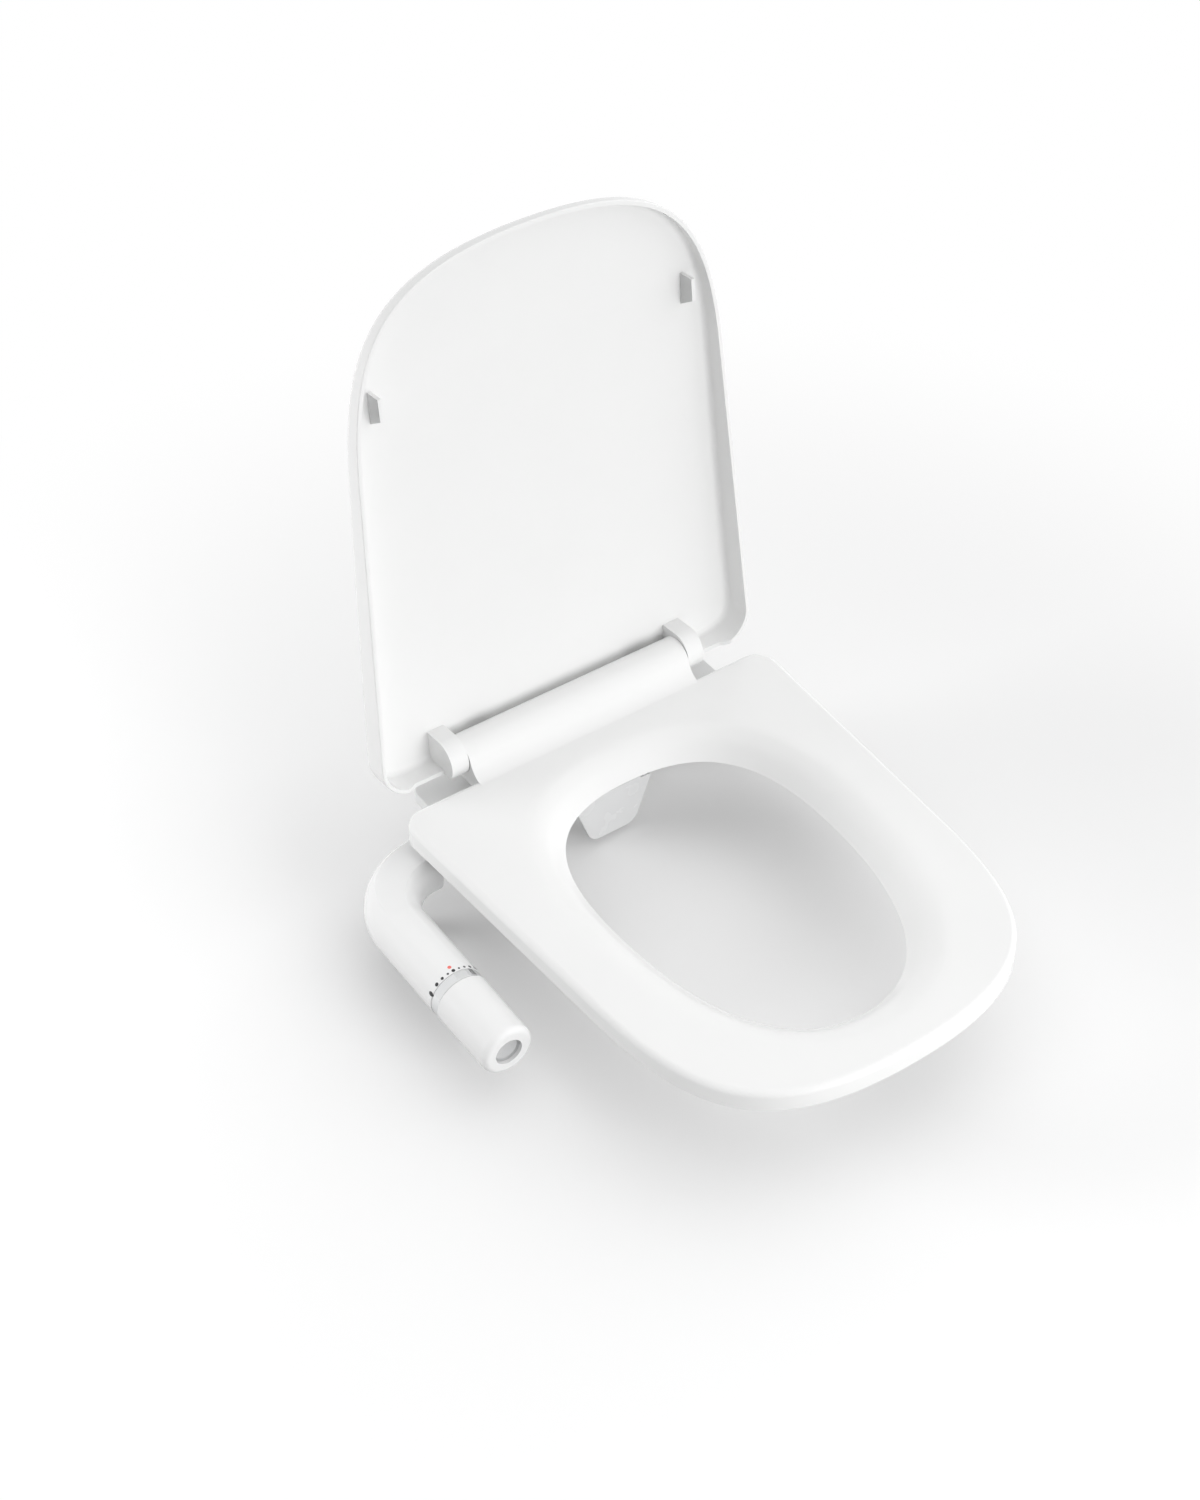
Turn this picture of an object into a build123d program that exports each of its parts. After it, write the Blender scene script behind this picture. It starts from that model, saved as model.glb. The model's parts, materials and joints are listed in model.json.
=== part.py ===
from build123d import *
import os
from math import atan2, cos, degrees, radians, sin, sqrt, tan

# Water-powered wash seat: seat, lid, wash base with two nozzles, and a side arm with a rotary knob.
# Frame: origin midway between the two studs on the plane under the base, front -Y, +X right as
# seen from the front, +Z up. Lengths in millimetres, angles in degrees.

# Fits
running_fit = 0.08
key_fit = 0.05
side_gap = 0.5

# Seat ring
seat_rear_half = 180.0
seat_front_half = 167.0
seat_setback = 24.0
seat_reach = 434.0
seat_nose_depth = 164.0
seat_corner = 19.0
seat_top = 30.0
seat_thickness = 18.0
seat_wall = 4.0
seat_edge_round = 5.5
seat_skirt = 7.5
hole_skirt = 28.0
side_pull = 0.67
nose_pull = 0.80
hole_half = 103.0
seat_back_width = 54.5
seat_nose_width = 56.5
hole_widest = 0.396
hole_slope = 45.0
hole_round = 40.0
rear_fullness = 0.69
front_fullness = 0.64
rib_thickness = 3.0
rib_angles = (20, 55, 125, 160, 200, 235, 270, 305, 340)
bumper_radius = 8.0
bumper_stem = 3.0
bumper_stem_height = 8.0
boss_radius = 7.0
rear_bumper_x = 147.0
rear_bumper_y = -120.0
front_bumper_x = 112.0
front_bumper_inset = 84.0

# Hinge line
hinge_height = 37.0
barrel_radius = 18.0
barrel_half = 107.4
barrel_wall = 3.5
barrel_end_wall = 4.0
ramp_round = 18.0
ramp_sink = 0.2
pivot_radius = 5.0
pivot_flat = 3.5
damper_radius = 9.0
damper_length = 24.5
shaft_depth = 13.0
web_thickness = 8.0
web_gap = 3.0
slot_gap = 1.5
slot_angle = 50.0

# Lid, drawn shut and then swung open
lid_open_angle = 96.7
lid_rear_margin = 1.4
lid_front_margin = -3.2
lid_shoulder_margin = 3.0
lid_nose_margin = -5.5
lid_overhang = 8.0
lid_corner = 28.0
lid_gap = 0.5
lid_depth_rear = 25.5
lid_depth_front = 10.0
lid_skin = 3.5
lid_wall = 3.5
lid_crown = 2.0
lid_edge_round = 9.0
lid_inner_round = 5.0
lid_rim_round = 1.2
notch_depth = 5.0
notch_margin = 31.0
notch_slope = 9.0
notch_round = 6.0
lug_width = 15.6
lug_end_wall = 2.0
lug_nose_radius = 17.3
lug_nose_y = -4.5
lug_nose_lift = 1.0
lid_bumper_x = 138.0
lid_bumper_inset = 103.0
lid_bumper_length = 22.0
lid_bumper_width = 5.0
lid_bumper_gap = 0.3

# Wash base
base_half = 144.0
base_front = -66.0
base_rear = 20.0
base_corner = 12.0
base_floor = 2.0
base_height = 9.0
base_skin = 2.0
base_edge_round = 1.5
screw_radius = 1.4
screw_head_radius = 2.8
screw_head_height = 1.2
screw_length = 6.0
screw_boss_radius = 3.5
screw_inset = 9.0

# Studs and their fittings
stud_spacing = 155.0
stud_radius = 4.0
stud_thread_radius = 3.9
stud_shank_end = -34.0
stud_end = -62.0
stud_root_radius = 5.0
stud_root_depth = 15.5
disc_radius = 20.0
disc_flange_radius = 22.0
disc_flange = 1.5
disc_gap = 0.2
disc_slot_half = 5.5
disc_slot_travel = 6.0
collar_wall = 2.0
foot_radius = 15.0
foot_height = 6.0
post_half = 8.0
post_head_radius = 12.5
cone_height = 10.0
cone_top_radius = 9.0
cone_base_radius = 15.0
nut_height = 12.0
nut_radius = 9.0
wing_reach = 22.0
wing_thickness = 4.0

# Nozzles, guard and housing
nozzle_tilt = 25.0
nozzle_x = 9.5
nozzle_tip_y = -50.0
nozzle_tip_z = -52.0
nozzle_radius = 4.2
nozzle_bore = 1.8
nozzle_length = 56.0
nozzle_tip_wall = 4.0
piston_radius = 6.0
piston_height = 4.0
housing_half = 21.0
housing_half_depth = 9.0
housing_bottom = 8.0
housing_guide = 12.0
housing_headroom = 1.0
housing_flange_half = 27.0
housing_flange_front = -48.0
housing_flange_rear = -12.0
tube_channel_height = 4.9
opening_gap = 0.5
spring_wire = 0.9
spring_turns = 5
guard_pin_y = -60.0
guard_pin_z = -5.6
guard_pin_radius = 1.5
guard_knuckle_radius = 3.4
guard_lug_inner = 28.0
guard_lug_width = 3.0
guard_lug_half = 4.0
guard_neck_half = 27.4
guard_shoulder_drop = 5.8
guard_shoulder_half = 38.5
guard_low_half = 21.6
guard_bottom_z = -57.6
guard_thickness = 2.5
guard_corner = 13.0
guard_edge_round = 0.8
guard_shoulder_round = 2.5

# Control arm, valve and knob
arm_reach = 77.5
arm_y = -42.5
arm_z = -13.0
arm_radius = 22.6
arm_bend = 52.0
arm_front = -170.0
arm_flat_start = -122.0
arm_flat_slope = 0.0561
duct_length = 20.0
root_block_length = 10.0
duct_front = -62.0
duct_rear = -24.0
duct_top = 8.5
duct_channel_front = -53.0
duct_channel_rear = -32.0
duct_channel_top = 6.7
root_block_bottom = -16.0
root_channel_bottom = -12.0
root_block_wall = 2.0
passage_radius = 10.0
passage_drop = 2.0
valve_radius = 16.0
valve_back = -112.0
chamber_radius = 10.0
chamber_floor = -135.0
disc_thickness = 4.0
disc_lift = 0.05
spindle_flange_height = 4.0
seal_height = 2.0
gland_height = 15.0
collar_length = 3.5
collar_radius = 22.3
nose_radius = 9.5
knob_gap = 0.5
knob_root_radius = 22.4
knob_end_radius = 21.5
knob_length = 67.0
knob_end_round = 5.0
knob_wall = 4.0
knob_hub_radius = 8.0
knob_hub_setback = 4.0
knob_web = 6.0
cap_radius = 11.3
cap_pocket = 7.0
cap_recess = 1.0
cap_dome = 2.0
knob_screw_radius = 1.7
knob_screw_head_radius = 3.5
knob_screw_head_height = 2.5
knob_screw_length = 26.0
spindle_engage = 32.0

# Water ways
tube_radius = 2.1
tube_lift = 4.0
tube_bend = 5.0
tube_riser_inset = 4.5
rear_tube_offset = -4.0
front_tube_offset = 4.0
inlet_offset = 24.0
inlet_radius = 10.48
inlet_bore = 6.0
inlet_length = 15.0
inlet_hex_radius = 13.0
inlet_hex_height = 6.0
inlet_spigot_radius = 8.0
inlet_spigot_height = 11.0
filter_height = 1.5

# Worked-out places
seat_shoulder = seat_reach - seat_nose_depth
hole_rear = seat_setback + seat_back_width
hole_front = seat_reach - seat_nose_width
hole_mid = hole_rear + hole_widest * (hole_front - hole_rear)
lid_rear_half = seat_rear_half + lid_rear_margin
lid_front_half = seat_front_half + lid_front_margin
lid_shoulder = seat_shoulder + lid_shoulder_margin
lid_reach = seat_reach + lid_nose_margin
arm_x = -base_half - arm_reach
duct_outer = -base_half - duct_length
root_block_outer = duct_outer - root_block_length
root_channel_outer = root_block_outer + root_block_wall
root_block_front = duct_channel_front - root_block_wall
root_block_rear = duct_channel_rear + root_block_wall
tube_low_z = arm_z + tube_lift
tube_riser_x = duct_outer - tube_riser_inset
inlet_x = arm_x + inlet_offset
seat_bottom = seat_top - seat_thickness
stud_x = stud_spacing / 2
disc_top = base_height + disc_flange
lid_rim = seat_top + lid_gap
lug_inner = barrel_half + side_gap
lug_outer = lug_inner + lug_width
pivot_reach = lug_outer - lug_end_wall
post_inner = stud_x - post_half
post_outer = stud_x + post_half
knob_start = arm_front - collar_length - knob_gap
knob_end = knob_start - knob_length
hinge_axis = Axis((0, 0, hinge_height), (1, 0, 0))


def block(x0, x1, y0, y1, z0, z1):
    centre = Pos((x0 + x1) / 2, (y0 + y1) / 2, (z0 + z1) / 2)
    return centre * Box(abs(x1 - x0), abs(y1 - y0), abs(z1 - z0))


def rod_x(x0, x1, y, z, radius):
    return Pos((x0 + x1) / 2, y, z) * Rot(0, 90, 0) * Cylinder(radius, abs(x1 - x0))


def rod_y(y0, y1, x, z, radius):
    return Pos(x, (y0 + y1) / 2, z) * Rot(90, 0, 0) * Cylinder(radius, abs(y1 - y0))


def rod_z(z0, z1, x, y, radius):
    return Pos(x, y, (z0 + z1) / 2) * Cylinder(radius, abs(z1 - z0))


def flatted_x(x0, x1, radius, flat):
    """Round bar along the hinge line with two flats that key it into its socket."""
    bar = rod_x(x0, x1, 0, hinge_height, radius)
    return bar & block(x0, x1, -radius, radius, hinge_height - flat, hinge_height + flat)


def d_outline(rear_half, front_half, rear_y, shoulder_y, nose_y, corner):
    """D-shaped face: straight rear edge, sides drawn in a little, full round nose."""
    side = Vector(front_half - rear_half, shoulder_y - rear_y).normalized()
    pull = side * (side_pull * (shoulder_y - nose_y))
    nose = nose_pull * front_half
    right_front = Bezier(
        (front_half, shoulder_y),
        (front_half + pull.X, shoulder_y + pull.Y),
        (nose, nose_y),
        (0, nose_y),
    )
    left_front = Bezier(
        (0, nose_y),
        (-nose, nose_y),
        (-front_half - pull.X, shoulder_y + pull.Y),
        (-front_half, shoulder_y),
    )
    rear = Line((-rear_half, rear_y), (rear_half, rear_y))
    right = Line((rear_half, rear_y), (front_half, shoulder_y))
    left = Line((-front_half, shoulder_y), (-rear_half, rear_y))
    face = make_face([rear, right, right_front, left_front, left])
    return fillet(face.vertices().group_by(Axis.Y)[-1], corner)


def seat_outline(inset):
    return d_outline(
        seat_rear_half - inset,
        seat_front_half - inset,
        -seat_setback - inset,
        -seat_shoulder,
        -seat_reach + inset,
        seat_corner - inset,
    )


def hole_outline(outset):
    """Egg-shaped opening from four quarter curves."""
    half = hole_half + outset
    ends = (
        (-hole_rear + outset, rear_fullness),
        (-hole_front - outset, front_fullness),
    )
    edges = []
    for end_y, fullness in ends:
        reach = end_y + hole_mid
        for side in (1, -1):
            edges.append(
                Bezier(
                    (side * half, -hole_mid),
                    (side * half, -hole_mid + fullness * reach),
                    (side * half * fullness, end_y),
                    (0, end_y),
                )
            )
    return make_face(edges)


def on_circle(radius, angle):
    turn = radians(angle)
    return (radius * cos(turn), hinge_height + radius * sin(turn))


def barrel_section(back_angle, hollow):
    """Side view of the hump on the hinge line, from its hollow-curved foot over the top to back_angle."""
    # The foot's arc dips a little below the seat's top, so that it comes out of that surface.
    foot_z = seat_top - ramp_sink
    centre_z = foot_z + ramp_round
    rise = centre_z - hinge_height
    foot_y = -sqrt((barrel_radius + ramp_round) ** 2 - rise**2)
    angle = degrees(atan2(rise, foot_y))
    halfway = radians((angle - 180 - 90) / 2)
    foot = (foot_y, foot_z)
    hollow_point = (foot_y + ramp_round * cos(halfway), centre_z + ramp_round * sin(halfway))
    touch = on_circle(barrel_radius, angle)
    back = on_circle(barrel_radius, back_angle)
    low_z = hinge_height - barrel_radius
    edges = [
        Line((foot_y, low_z), foot),
        ThreePointArc(foot, hollow_point, touch),
        ThreePointArc(touch, on_circle(barrel_radius, (angle + back_angle) / 2), back),
    ]
    if hollow:
        inner = barrel_radius - barrel_wall
        inner_back = on_circle(inner, back_angle)
        inner_front = (-inner, hinge_height)
        edges += [
            Line(back, inner_back),
            ThreePointArc(inner_back, on_circle(inner, (180 + back_angle) / 2), inner_front),
            Line(inner_front, (-inner, low_z)),
            Line((-inner, low_z), (foot_y, low_z)),
        ]
    else:
        edges.append(Line(back, (foot_y, low_z)))
    return make_face([Plane.YZ * edge for edge in edges])


def seat_blank():
    blank = extrude(seat_outline(0), amount=seat_thickness)
    # The opening widens upwards into the seat's dished surface.
    flare = seat_thickness * tan(radians(hole_slope))
    blank -= loft([hole_outline(0), Pos(0, 0, seat_thickness) * hole_outline(flare)], ruled=True)
    top = blank.faces().sort_by(Axis.Z)[-1]
    blank = fillet(top.outer_wire().edges(), seat_edge_round)
    top = blank.faces().filter_by(Plane.XY).sort_by(Axis.Z)[-1]
    blank = fillet(top.inner_wires()[0].edges(), hole_round)
    return Pos(0, 0, seat_bottom) * blank


def make_hump():
    """Hollow barrel along the hinge line, open below and behind so that the posts clear it."""
    inner_half = barrel_half - barrel_end_wall
    slot_half = post_half + slot_gap
    web_end = damper_web_x()
    web_start = web_end - web_thickness
    stations = (
        (-barrel_half, -inner_half, -90, False),
        (-inner_half, -stud_x - slot_half, 0, True),
        (-stud_x - slot_half, -stud_x + slot_half, slot_angle, True),
        (-stud_x + slot_half, web_start, 0, True),
        (web_start, web_end, -90, False),
        (web_end, stud_x - slot_half, 0, True),
        (stud_x - slot_half, stud_x + slot_half, slot_angle, True),
        (stud_x + slot_half, inner_half, 0, True),
        (inner_half, barrel_half, -90, False),
    )
    hump = Part()
    for x0, x1, back_angle, hollow in stations:
        section = barrel_section(back_angle, hollow)
        hump += Pos(x0, 0, 0) * extrude(section, amount=x1 - x0, dir=(1, 0, 0))
    for side in (1, -1):
        hump -= rod_x(
            side * inner_half, side * barrel_half, 0, hinge_height, pivot_radius + running_fit
        )
    return hump - flatted_x(web_start, web_end, pivot_radius + key_fit, pivot_flat + key_fit)


def damper_web_x():
    return stud_x - damper_length - web_gap


def make_seat():
    hollow_height = seat_thickness - seat_wall
    hollow = extrude(seat_outline(seat_skirt), amount=hollow_height)
    hollow -= extrude(hole_outline(hole_skirt), amount=hollow_height)
    hollow = Pos(0, 0, seat_bottom) * hollow
    for angle in rib_angles:
        rib = Pos(seat_reach / 2, 0, 0) * Box(seat_reach, rib_thickness, hollow_height)
        place = Pos(0, -hole_mid, seat_bottom + hollow_height / 2)
        hollow -= place * Rot(0, 0, angle) * rib
    for x, y in bumper_places():
        hollow -= rod_z(seat_bottom, seat_bottom + hollow_height, x, y, boss_radius)
    seat = seat_blank() - hollow + make_hump()
    for x, y in bumper_places():
        seat -= rod_z(seat_bottom, seat_bottom + bumper_stem_height, x, y, bumper_stem)
    return seat


def bumper_places():
    rear = [(side * rear_bumper_x, rear_bumper_y) for side in (1, -1)]
    front = [(side * front_bumper_x, -seat_reach + front_bumper_inset) for side in (1, -1)]
    return rear + front


def make_seat_bumpers():
    pads = Part()
    for x, y in bumper_places():
        pad = rod_z(0, seat_bottom, x, y, bumper_radius)
        pad = fillet(pad.edges().group_by(Axis.Z)[0], 1.5)
        pads += pad + rod_z(seat_bottom, seat_bottom + bumper_stem_height, x, y, bumper_stem)
    return pads


def lid_outline(inset):
    return d_outline(
        lid_rear_half - inset,
        lid_front_half - inset,
        lid_overhang - inset,
        -lid_shoulder,
        -lid_reach + inset,
        lid_corner - inset,
    )


def lid_space(inset, lift):
    """Room under a gently crowned surface, deeper at the hinge than at the nose."""
    rear = (lid_overhang, lid_rim + lid_depth_rear + lift)
    nose = (-lid_reach, lid_rim + lid_depth_front + lift)
    middle = ((rear[0] + nose[0]) / 2, (rear[1] + nose[1]) / 2 + lid_crown)
    below = lid_rim
    edges = [
        ThreePointArc(rear, middle, nose),
        Line(nose, (nose[0], below)),
        Line((nose[0], below), (rear[0], below)),
        Line((rear[0], below), rear),
    ]
    profile = make_face([Plane.YZ * edge for edge in edges])
    side_view = extrude(profile, amount=lid_rear_half + lid_wall, both=True)
    height = lid_depth_rear + lift + 2 * lid_crown
    return (Pos(0, 0, lid_rim) * extrude(lid_outline(inset), amount=height)) & side_view


def lug_profile():
    """Side view of a lug, shut: a round nose about the hinge line under a block on the lid."""
    nose_z = hinge_height + lug_nose_lift
    nose = Pos(lug_nose_y, nose_z) * Circle(lug_nose_radius)
    front = lug_nose_y - lug_nose_radius
    top = lid_rim + lid_depth_rear + lid_skin / 2
    body = Pos((front + lid_overhang) / 2, (nose_z + top) / 2) * Rectangle(
        lid_overhang - front, top - nose_z
    )
    trim = Pos((front + lid_overhang) / 2, nose_z) * Rectangle(
        lid_overhang - front, 4 * lug_nose_radius
    )
    return Plane.YZ * ((nose & trim) + body)


def lid_inside():
    inside = lid_space(lid_wall, 0)
    roof = inside.faces().sort_by(Axis.Z)[-1]
    return fillet(roof.outer_wire().edges(), lid_inner_round)


def rear_notch(side):
    """Shallow dip in the rear rim between a lug and the lid's corner, with a sloping outer end."""
    end = lid_rear_half - notch_margin
    top = lid_rim + notch_depth
    outline = make_face(
        Polyline(
            (side * lug_outer, lid_rim),
            (side * (end + notch_slope), lid_rim),
            (side * end, top),
            (side * lug_outer, top),
            close=True,
        )
    )
    swoop = outline.vertices().sort_by(Axis.Y)[-2:].sort_by(lambda v: abs(v.X))[-1]
    outline = fillet(swoop, notch_round)
    cut = extrude(Plane.XZ * outline, amount=lid_wall + lid_inner_round, both=True)
    return Pos(0, lid_overhang, 0) * cut


def make_lid():
    shell = lid_space(0, lid_skin)
    top = shell.faces().sort_by(Axis.Z)[-1]
    shell = fillet(top.outer_wire().edges(), lid_edge_round)
    rim = shell.faces().sort_by(Axis.Z)[0]
    shell = fillet(rim.outer_wire().edges(), lid_rim_round)
    lid = shell - lid_inside()
    # Between the lugs the rear rim is left out for the seat's barrel.
    lid -= block(
        -lug_inner,
        lug_inner,
        lid_overhang - lid_wall - lid_inner_round,
        lid_overhang + 1,
        lid_rim,
        lid_rim + lid_depth_rear,
    )
    for side in (1, -1):
        lid -= rear_notch(side)
        lug = extrude(lug_profile(), amount=lug_width)
        lid += Pos(lug_inner if side > 0 else -lug_outer, 0, 0) * lug
    lid -= rod_x(lug_inner, pivot_reach + side_gap, 0, hinge_height, pivot_radius + running_fit)
    lid -= flatted_x(
        -pivot_reach - side_gap, -lug_inner, pivot_radius + key_fit, pivot_flat + key_fit
    )
    return lid


def make_lid_bumpers():
    """Two blocks that grow out of the lid's roof and stop just above the seat."""
    inside = lid_inside()
    front = -lid_reach + lid_bumper_inset - lid_bumper_length / 2
    rear = front + lid_bumper_length
    pads = Part()
    for side in (1, -1):
        left = side * lid_bumper_x - lid_bumper_width / 2
        right = left + lid_bumper_width
        pads += block(left, right, front, rear, lid_rim, lid_rim + lid_depth_rear) & inside
        pads += block(left, right, front, rear, seat_top + lid_bumper_gap, lid_rim)
    return pads


def swung_open(shape):
    return shape.rotate(hinge_axis, -lid_open_angle)


def make_post(side):
    mid = side * stud_x
    post = rod_z(disc_top, disc_top + foot_height, mid, 0, foot_radius)
    post += block(
        mid - post_half, mid + post_half, -post_half, post_half, disc_top, hinge_height
    )
    post += rod_x(mid - post_half, mid + post_half, 0, hinge_height, post_head_radius)
    post -= rod_z(disc_top, disc_top + stud_root_depth, mid, 0, stud_root_radius)
    return post


def make_left_post():
    # The lid's damper sits in the outer half of the post.
    return make_post(-1) - rod_x(-post_outer, -stud_x, 0, hinge_height, damper_radius)


def make_right_post():
    # The seat's damper sits in the inner half, the pivot pin in the outer half.
    post = make_post(1) - rod_x(post_inner, stud_x, 0, hinge_height, damper_radius)
    return post - rod_x(stud_x, post_outer, 0, hinge_height, pivot_radius)


def make_lid_damper():
    end = -stud_x - damper_length
    body = rod_x(end, -stud_x, 0, hinge_height, damper_radius)
    return body - rod_x(end, end + shaft_depth, 0, hinge_height, pivot_radius + running_fit)


def make_lid_damper_shaft():
    start = -stud_x - damper_length + shaft_depth - side_gap
    round_part = rod_x(-lug_inner, start, 0, hinge_height, pivot_radius)
    return round_part + flatted_x(-pivot_reach, -lug_inner, pivot_radius, pivot_flat)


def make_seat_damper():
    end = stud_x - damper_length
    body = rod_x(end, stud_x, 0, hinge_height, damper_radius)
    return body - rod_x(end, end + shaft_depth, 0, hinge_height, pivot_radius + running_fit)


def make_seat_damper_shaft():
    web_x = damper_web_x()
    start = stud_x - damper_length + shaft_depth - side_gap
    round_part = rod_x(web_x, start, 0, hinge_height, pivot_radius)
    return round_part + flatted_x(web_x - web_thickness, web_x, pivot_radius, pivot_flat)


def make_hinge_pin():
    return rod_x(stud_x, pivot_reach, 0, hinge_height, pivot_radius)


def for_both_sides(make):
    return make(stud_x) + make(-stud_x)


def stud(x):
    root = rod_z(disc_top, disc_top + stud_root_depth, x, 0, stud_root_radius)
    shank = rod_z(stud_shank_end, disc_top, x, 0, stud_radius)
    return root + shank + rod_z(stud_end, stud_shank_end, x, 0, stud_thread_radius)


def mounting_disc(x):
    disc = rod_z(0, base_height, x, 0, disc_radius)
    disc += rod_z(base_height, disc_top, x, 0, disc_flange_radius)
    slot = Pos(x, 0, 0) * SlotCenterToCenter(disc_slot_travel, 2 * disc_slot_half, 90)
    return disc - extrude(slot, amount=disc_top)


def cone_washer(x):
    cone_low = stud_shank_end - cone_height
    cone = Pos(x, 0, cone_low + cone_height / 2) * Cone(
        cone_base_radius, cone_top_radius, cone_height
    )
    return cone - rod_z(cone_low, stud_shank_end, x, 0, stud_thread_radius)


def wing_nut(x):
    top = stud_shank_end - cone_height
    low = top - nut_height
    nut = rod_z(low, top, x, 0, nut_radius)
    wing = Pos(x, 0, (low + top) / 2) * Rot(90, 0, 0) * extrude(
        RectangleRounded(2 * wing_reach, nut_height, nut_height / 2.2),
        amount=wing_thickness / 2,
        both=True,
    )
    return nut + wing - rod_z(low, top, x, 0, stud_thread_radius)


def base_outline(inset):
    mid_y = (base_front + base_rear) / 2
    depth = base_rear - base_front
    return Pos(0, mid_y) * RectangleRounded(
        2 * (base_half - inset), depth - 2 * inset, base_corner - inset
    )


def base_screw_places():
    x = base_half - screw_inset
    return [
        (side * x, y)
        for side in (1, -1)
        for y in (base_front + screw_inset, base_rear - screw_inset)
    ]


def arm_screw_places():
    x = (-base_half + duct_outer) / 2
    front = (duct_front + duct_channel_front) / 2
    rear = (duct_rear + duct_channel_rear) / 2
    return [(x, front), (x, rear)]


def make_base_top():
    height = base_height - base_floor
    shell = Pos(0, 0, base_floor) * extrude(base_outline(0), amount=height)
    shell = fillet(shell.faces().sort_by(Axis.Z)[-1].outer_wire().edges(), base_edge_round)
    shell -= Pos(0, 0, base_floor) * extrude(base_outline(base_skin), amount=height - base_skin)
    for side in (1, -1):
        shell += rod_z(base_floor, base_height, side * stud_x, 0, disc_radius + collar_wall)
    for x, y in base_screw_places():
        shell += rod_z(base_floor, base_height - base_skin / 2, x, y, screw_boss_radius)
    for side in (1, -1):
        shell -= rod_z(base_floor, base_height, side * stud_x, 0, disc_radius + disc_gap)
    for x, y in base_screw_places():
        shell -= rod_z(base_floor, screw_length, x, y, screw_radius)
    shell -= block(
        -base_half, -base_half + base_skin,
        duct_channel_front, duct_channel_rear, base_floor, duct_channel_top,
    )
    return shell


def housing_mid_y(z):
    return nozzle_tip_y + (z - nozzle_tip_z) * tan(radians(nozzle_tilt))


def make_base_bottom():
    plate = extrude(base_outline(0), amount=base_floor)
    plate += block(duct_outer, -base_half + base_corner, duct_front, duct_rear, 0, base_floor)
    for side in (1, -1):
        plate -= rod_z(0, base_floor, side * stud_x, 0, disc_radius + disc_gap)
    half_depth = housing_half_depth / cos(radians(nozzle_tilt)) + opening_gap
    plate -= block(
        -housing_half - opening_gap,
        housing_half + opening_gap,
        housing_mid_y(-base_floor) - half_depth,
        housing_mid_y(base_floor) + half_depth,
        0,
        base_floor,
    )
    for x, y in base_screw_places() + arm_screw_places():
        plate -= rod_z(0, base_floor, x, y, screw_radius)
        plate -= rod_z(0, screw_head_height, x, y, screw_head_radius)
    for side in (1, -1):
        lug = rod_x(
            side * guard_lug_inner,
            side * (guard_lug_inner + guard_lug_width),
            guard_pin_y,
            guard_pin_z,
            guard_lug_half,
        )
        lug += block(
            side * guard_lug_inner,
            side * (guard_lug_inner + guard_lug_width),
            guard_pin_y - guard_lug_half,
            guard_pin_y + guard_lug_half,
            guard_pin_z,
            0,
        )
        plate += lug
        plate -= rod_x(
            side * guard_lug_inner,
            side * (guard_lug_inner + guard_lug_width),
            guard_pin_y,
            guard_pin_z,
            guard_pin_radius,
        )
    return plate


def countersunk(x, y):
    return rod_z(0, screw_head_height, x, y, screw_head_radius) + rod_z(
        screw_head_height, screw_length, x, y, screw_radius
    )


def make_screws(places):
    screws = Part()
    for x, y in places:
        screws += countersunk(x, y)
    return screws


def along_nozzle(x):
    return Pos(x, nozzle_tip_y, nozzle_tip_z) * Rot(-nozzle_tilt, 0, 0)


def make_nozzle(x):
    tube = Cylinder(nozzle_radius, nozzle_length, align=(Align.CENTER, Align.CENTER, Align.MIN))
    tube = fillet(tube.edges().group_by(Axis.Z)[0], nozzle_radius * 0.6)
    piston = Pos(0, 0, nozzle_length - piston_height / 2) * Cylinder(piston_radius, piston_height)
    bore = Pos(0, 0, (nozzle_tip_wall + nozzle_length) / 2) * Cylinder(
        nozzle_bore, nozzle_length - nozzle_tip_wall
    )
    return along_nozzle(x) * (tube + piston - bore)


def make_housing():
    top = base_floor + tube_channel_height
    length = (top - nozzle_tip_z) / cos(radians(nozzle_tilt)) - housing_bottom
    body = Pos(0, 0, housing_bottom + length / 2) * Box(
        2 * housing_half, 2 * housing_half_depth, length
    )
    body = fillet(body.edges().filter_by(Axis.Z), 4.0)
    housing = along_nozzle(0) * body
    housing &= block(
        -housing_half, housing_half, nozzle_tip_y + nozzle_tip_z, -nozzle_tip_y, nozzle_tip_z, base_floor
    )
    housing += block(
        -housing_flange_half, housing_flange_half,
        housing_flange_front, housing_flange_rear, base_floor, top,
    )
    roof = nozzle_length + housing_headroom
    shelf = housing_bottom + housing_guide
    for x in (nozzle_x, -nozzle_x):
        guide = Pos(0, 0, (housing_bottom + shelf) / 2) * Cylinder(
            nozzle_radius + running_fit, shelf - housing_bottom + 1
        )
        chamber = Pos(0, 0, (shelf + roof) / 2) * Cylinder(
            piston_radius + running_fit, roof - shelf
        )
        housing -= along_nozzle(x) * (guide + chamber)
    return housing


def make_spring(x):
    shelf = housing_bottom + housing_guide
    height = nozzle_length - piston_height - shelf - spring_wire
    mean = (nozzle_radius + piston_radius) / 2
    path = Helix(height / spring_turns, height, mean)
    section = Plane(path @ 0, z_dir=path % 0) * Rectangle(spring_wire, spring_wire)
    coil = sweep(section, path=path, is_frenet=True)
    return along_nozzle(x) * Pos(0, 0, shelf + spring_wire / 2) * coil


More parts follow.
